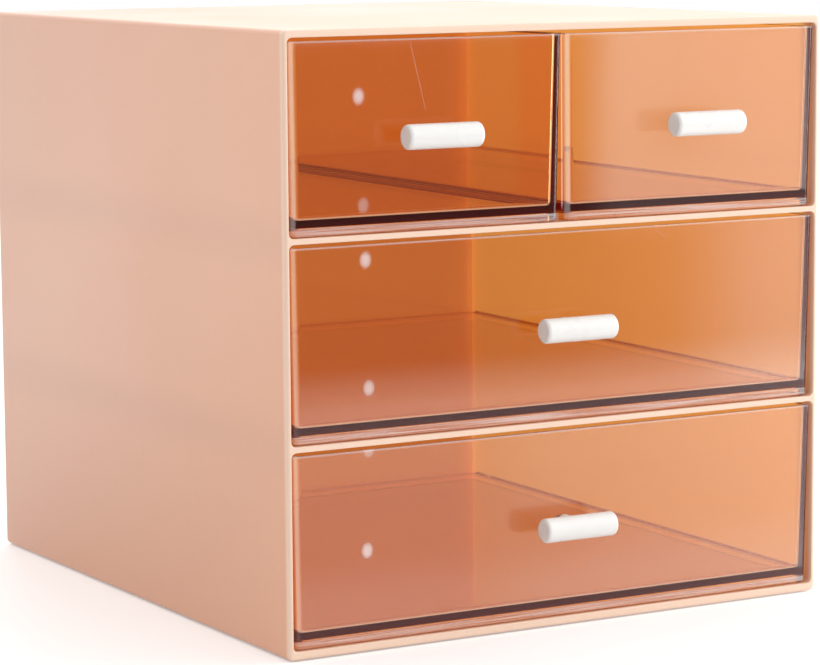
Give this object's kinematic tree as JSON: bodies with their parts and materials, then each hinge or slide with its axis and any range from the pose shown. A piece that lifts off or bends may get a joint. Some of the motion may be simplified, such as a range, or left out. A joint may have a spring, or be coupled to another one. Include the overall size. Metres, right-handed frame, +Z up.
{
  "type": "makeup organizer drawers",
  "caption": "Desktop make-up cabinet in moulded plastic, with an open-fronted case, translucent full-width and half-width sliding drawers, and round bar handles.",
  "frame": {"origin": "on the ground, under the middle of the object's whole width and depth, with the handles counted", "axes": "+Z up, -Y the side that the drawers open to, +X to the right as seen from that side"},
  "size_m": [0.24, 0.2804, 0.232],
  "materials": {
    "peach_plastic": "fine satin, opaque peach",
    "amber_clear_plastic": "clear polished, tinted amber",
    "white_plastic": "gloss white",
    "zinc_plated_steel": "bright zinc plating",
    "pad_rubber": "matte grey"
  },
  "bodies": {
    "case": {"cabinet": "peach_plastic", "foot_pad_front_left": "pad_rubber", "foot_pad_front_right": "pad_rubber", "foot_pad_rear_left": "pad_rubber", "foot_pad_rear_right": "pad_rubber"},
    "bottom_drawer": {"drawer_bottom": "amber_clear_plastic", "handle_bottom": "white_plastic", "handle_screw_bottom": "zinc_plated_steel"},
    "middle_drawer": {"drawer_middle": "amber_clear_plastic", "handle_middle": "white_plastic", "handle_screw_middle": "zinc_plated_steel"},
    "top_left_drawer": {"drawer_top_left": "amber_clear_plastic", "handle_top_left": "white_plastic", "handle_screw_top_left": "zinc_plated_steel"},
    "top_right_drawer": {"drawer_top_right": "amber_clear_plastic", "handle_top_right": "white_plastic", "handle_screw_top_right": "zinc_plated_steel"}
  },
  "joints": [
    {"name": "bottom_slide", "type": "slide", "parent": "case", "child": "bottom_drawer", "axis": [0, -1, 0], "range_m": [0, 0.19]},
    {"name": "middle_slide", "type": "slide", "parent": "case", "child": "middle_drawer", "axis": [0, -1, 0], "range_m": [0, 0.19]},
    {"name": "top_left_slide", "type": "slide", "parent": "case", "child": "top_left_drawer", "axis": [0, -1, 0], "range_m": [0, 0.19]},
    {"name": "top_right_slide", "type": "slide", "parent": "case", "child": "top_right_drawer", "axis": [0, -1, 0], "range_m": [0, 0.19]}
  ]
}
